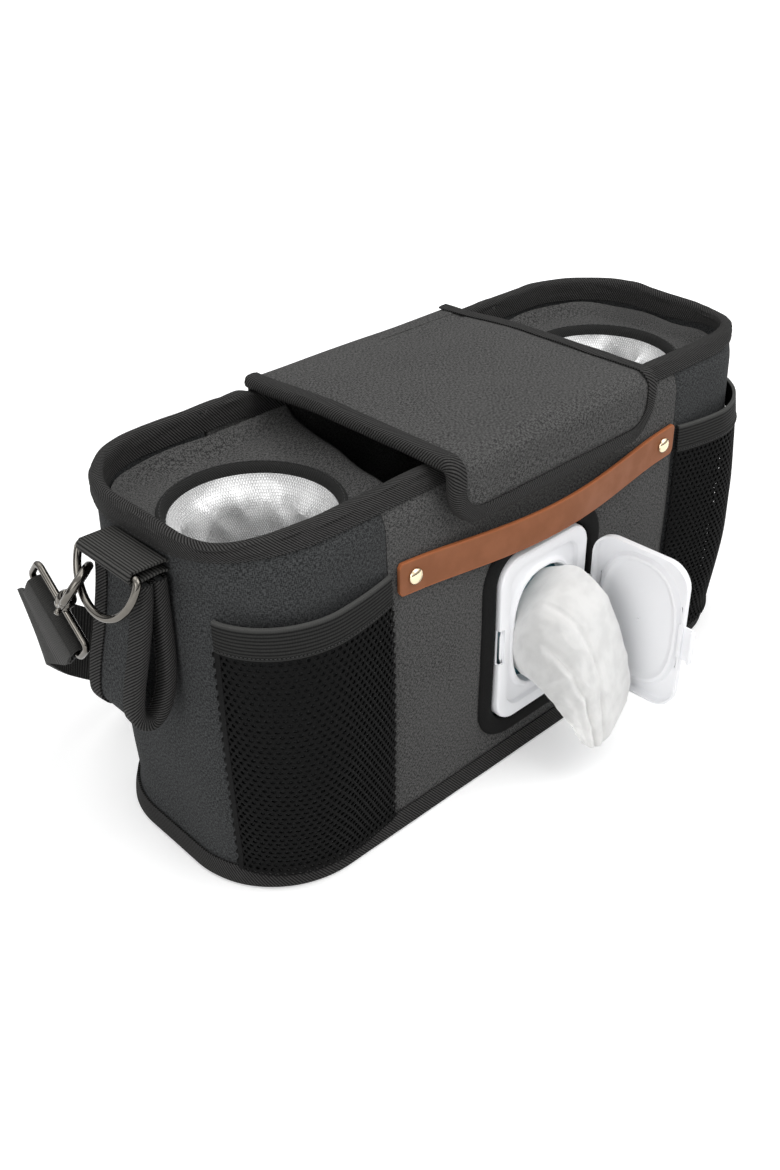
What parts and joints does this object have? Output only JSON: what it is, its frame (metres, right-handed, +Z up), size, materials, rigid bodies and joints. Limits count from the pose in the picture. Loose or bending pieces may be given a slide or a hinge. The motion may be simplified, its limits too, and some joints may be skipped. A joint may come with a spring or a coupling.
{
  "type": "stroller organizer",
  "caption": "Soft-sided stroller bag with insulated cup holders, hinged padded lid, wipes dispenser window, mesh pockets and hook-on shoulder strap.",
  "frame": {"origin": "middle of the base panel's underside, on the surface that the bag stands on", "axes": "+X along the bag's long side, +Y from the window side to the lid's hinge side, +Z up"},
  "size_m": [0.422, 0.2524, 0.1877],
  "materials": {
    "canvas": "heather charcoal weave",
    "twill_binding": "ribbed tape",
    "pocket_mesh": "open spacer mesh",
    "black_webbing": "ribbed webbing",
    "black_lining": "plain weave",
    "foil_liner": "creased insulating foil",
    "stiffener": "matt",
    "tan_leather": "satin",
    "pale_gold": "polished",
    "gunmetal": "black nickel",
    "white_plastic": "satin",
    "teal_film": "creased film",
    "wipe_cloth": "damp nonwoven"
  },
  "bodies": {
    "root": {"front_panel": "canvas", "back_panel": "canvas", "left_end_panel": "canvas", "right_end_panel": "canvas", "rim_binding": "twill_binding", "base_binding": "twill_binding", "base_panel": "canvas", "base_board": "stiffener", "left_cup_panel": "canvas", "left_cup_facing": "twill_binding", "left_cup_liner": "foil_liner", "left_divider": "black_lining", "right_cup_panel": "canvas", "right_cup_facing": "twill_binding", "right_cup_liner": "foil_liner", "right_divider": "black_lining", "lid_hinge_strip": "canvas", "left_mesh_pocket": "pocket_mesh", "left_pocket_elastic": "twill_binding", "right_mesh_pocket": "pocket_mesh", "right_pocket_elastic": "twill_binding", "leather_strap": "tan_leather", "left_rivet": "pale_gold", "right_rivet": "pale_gold", "window_facing": "twill_binding", "wipes_pack": "teal_film", "wipes_pocket": "black_lining", "wipes_frame": "white_plastic", "wipe_sheet": "wipe_cloth", "left_webbing_tab": "black_webbing", "left_handle_strap": "canvas", "left_handle_binding_front": "twill_binding", "left_handle_binding_back": "twill_binding", "right_webbing_tab": "black_webbing", "right_handle_strap": "canvas", "right_handle_binding_front": "twill_binding", "right_handle_binding_back": "twill_binding", "shoulder_strap": "black_webbing", "strap_slider": "gunmetal"},
    "lid": {"lid_flap": "canvas", "lid_binding": "twill_binding"},
    "wipes_lid": {"wipes_lid": "white_plastic"},
    "left_ring": {"left_d_ring": "gunmetal", "left_hook": "gunmetal"},
    "right_ring": {"right_d_ring": "gunmetal", "right_hook": "gunmetal"},
    "left_eye": {"left_swivel_eye": "gunmetal"},
    "right_eye": {"right_swivel_eye": "gunmetal"},
    "left_gate": {"left_hook_gate": "gunmetal"},
    "right_gate": {"right_hook_gate": "gunmetal"}
  },
  "joints": [
    {"name": "lid_hinge", "type": "hinge", "parent": "root", "child": "lid", "pos_m": [0, 0.0683, 0.1813], "axis": [-1, 0, 0], "range_deg": [0, 175]},
    {"name": "wipes_lid_hinge", "type": "hinge", "parent": "root", "child": "wipes_lid", "pos_m": [0.032, -0.06975, 0.0735], "axis": [0, 0, 1], "range_deg": [-91, 60], "deforming": ["wipe_sheet"]},
    {"name": "left_ring_swing", "type": "hinge", "parent": "root", "child": "left_ring", "pos_m": [-0.1955, -0.003, 0.166], "axis": [0, 1, 0], "range_deg": [0, 60], "deforming": ["shoulder_strap"]},
    {"name": "left_hook_swivel", "type": "hinge", "parent": "left_ring", "child": "left_eye", "pos_m": [-0.20096, 0.03331, 0.13026], "axis": [0, 0.6691, -0.7431], "range_deg": [-30, 30], "deforming": ["shoulder_strap"]},
    {"name": "left_gate_hinge", "type": "hinge", "parent": "left_ring", "child": "left_gate", "pos_m": [-0.20495, 0.02482, 0.13625], "axis": [-0.5, 0.6436, 0.5795], "range_deg": [0, 18]},
    {"name": "right_ring_swing", "type": "hinge", "parent": "root", "child": "right_ring", "pos_m": [0.1955, -0.003, 0.166], "axis": [0, -1, 0], "range_deg": [0, 60], "deforming": ["shoulder_strap"]},
    {"name": "right_hook_swivel", "type": "hinge", "parent": "right_ring", "child": "right_eye", "pos_m": [0.20096, 0.03331, 0.13026], "axis": [0, -0.6691, 0.7431], "range_deg": [-30, 30], "deforming": ["shoulder_strap"]},
    {"name": "right_gate_hinge", "type": "hinge", "parent": "right_ring", "child": "right_gate", "pos_m": [0.20495, 0.02482, 0.13625], "axis": [-0.5, -0.6436, -0.5795], "range_deg": [0, 18]}
  ]
}
